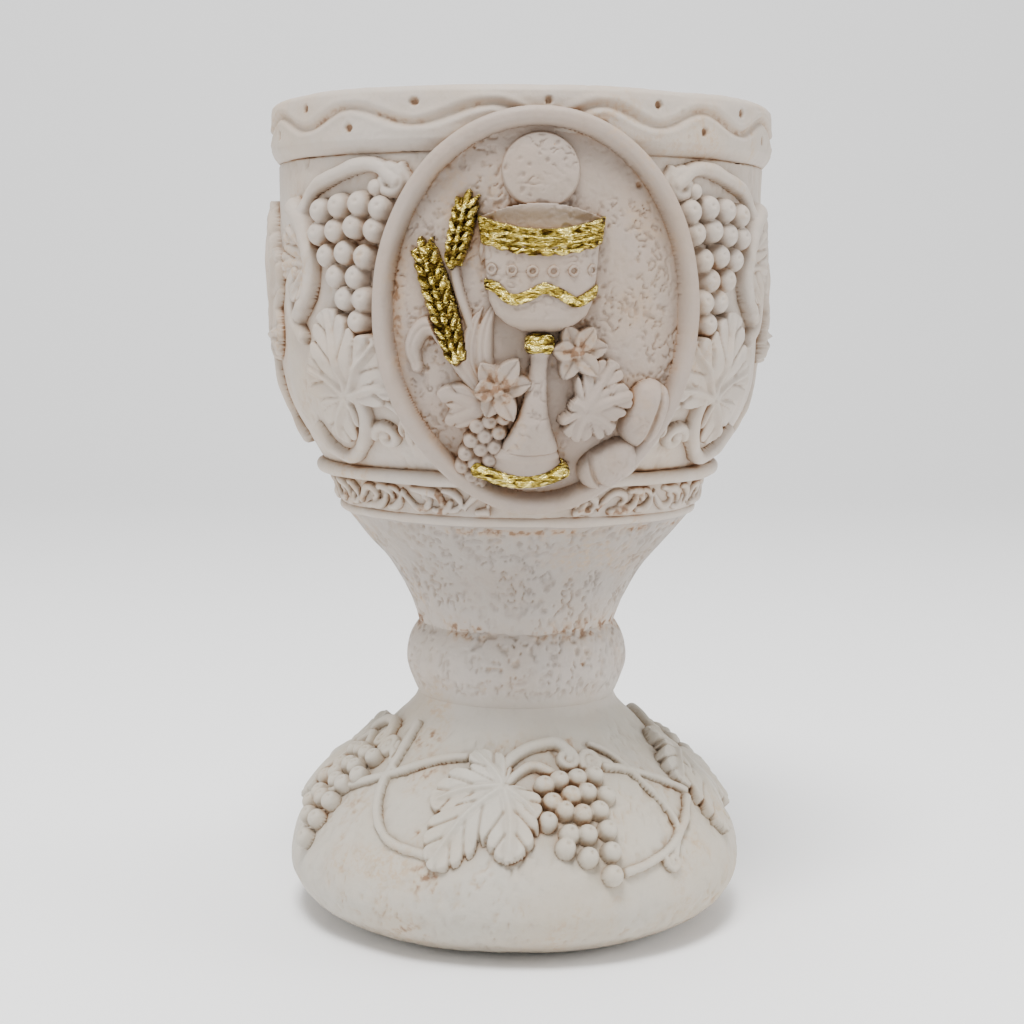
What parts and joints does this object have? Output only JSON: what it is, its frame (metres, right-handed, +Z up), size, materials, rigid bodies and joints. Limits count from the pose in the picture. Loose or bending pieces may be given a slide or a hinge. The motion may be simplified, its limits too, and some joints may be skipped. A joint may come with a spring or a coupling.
{
  "type": "communion chalice ornament",
  "caption": "Cast chalice with a belled foot, ring knop, grapevine relief and a front medallion of cup, host, wheat and loaves.",
  "frame": {"origin": "centre of the flat face under the foot, on the turning axis", "axes": "+Z up along the turning axis, towards the mouth; -Y out of the medallion; +X to the right when facing the medallion"},
  "size_m": [0.0918, 0.0968, 0.15],
  "materials": {
    "cup_resin": "matte ivory cast resin with a brown antiquing wash",
    "medallion_resin": "matte ivory cast resin with a brown antiquing wash",
    "stem_resin": "matte ivory cast resin with a brown antiquing wash",
    "foot_resin": "matte ivory cast resin with a brown antiquing wash",
    "gold_leaf": "crinkled bright gold leaf with dark cracks"
  },
  "bodies": {
    "root": {"blade_leaves": "medallion_resin", "bowl_grapes_1": "cup_resin", "bowl_grapes_2": "cup_resin", "bowl_grapes_3": "cup_resin", "bowl_grapes_4": "cup_resin", "bowl_leaf_1": "cup_resin", "bowl_leaf_2": "cup_resin", "bowl_leaf_3": "cup_resin", "bowl_leaf_4": "cup_resin", "bowl_shell": "cup_resin", "bowl_vine_1": "cup_resin", "bowl_vine_2": "cup_resin", "bowl_vine_3": "cup_resin", "bowl_vine_4": "cup_resin", "cup_studs": "medallion_resin", "curled_reed": "medallion_resin", "foot_dome": "foot_resin", "foot_grapes_1": "foot_resin", "foot_grapes_2": "foot_resin", "foot_grapes_3": "foot_resin", "foot_grapes_4": "foot_resin", "foot_leaf_1": "foot_resin", "foot_leaf_2": "foot_resin", "foot_leaf_3": "foot_resin", "foot_leaf_4": "foot_resin", "foot_vine_1": "foot_resin", "foot_vine_2": "foot_resin", "foot_vine_3": "foot_resin", "foot_vine_4": "foot_resin", "frieze_band": "cup_resin", "frieze_scrolls": "cup_resin", "gilt_foot_band": "gold_leaf", "gilt_knop": "gold_leaf", "gilt_rim_band": "gold_leaf", "gilt_wave_band": "gold_leaf", "host_disc": "medallion_resin", "knop_ring": "stem_resin", "lily_leaves": "medallion_resin", "lily_left": "medallion_resin", "lily_right": "medallion_resin", "loaf_lower": "medallion_resin", "loaf_upper": "medallion_resin", "lower_cord": "cup_resin", "medallion_frame": "medallion_resin", "medallion_ground": "medallion_resin", "relief_cup_bowl": "medallion_resin", "relief_cup_foot": "medallion_resin", "relief_cup_stem": "medallion_resin", "relief_grapes": "medallion_resin", "relief_vine_leaf": "medallion_resin", "rim_band": "cup_resin", "side_leaf_1": "cup_resin", "side_leaf_2": "cup_resin", "side_leaf_3": "cup_resin", "stem_neck": "stem_resin", "upper_cord": "cup_resin", "wheat_ear_lower": "gold_leaf", "wheat_ear_upper": "gold_leaf", "wheat_stalks": "medallion_resin"}
  },
  "joints": []
}
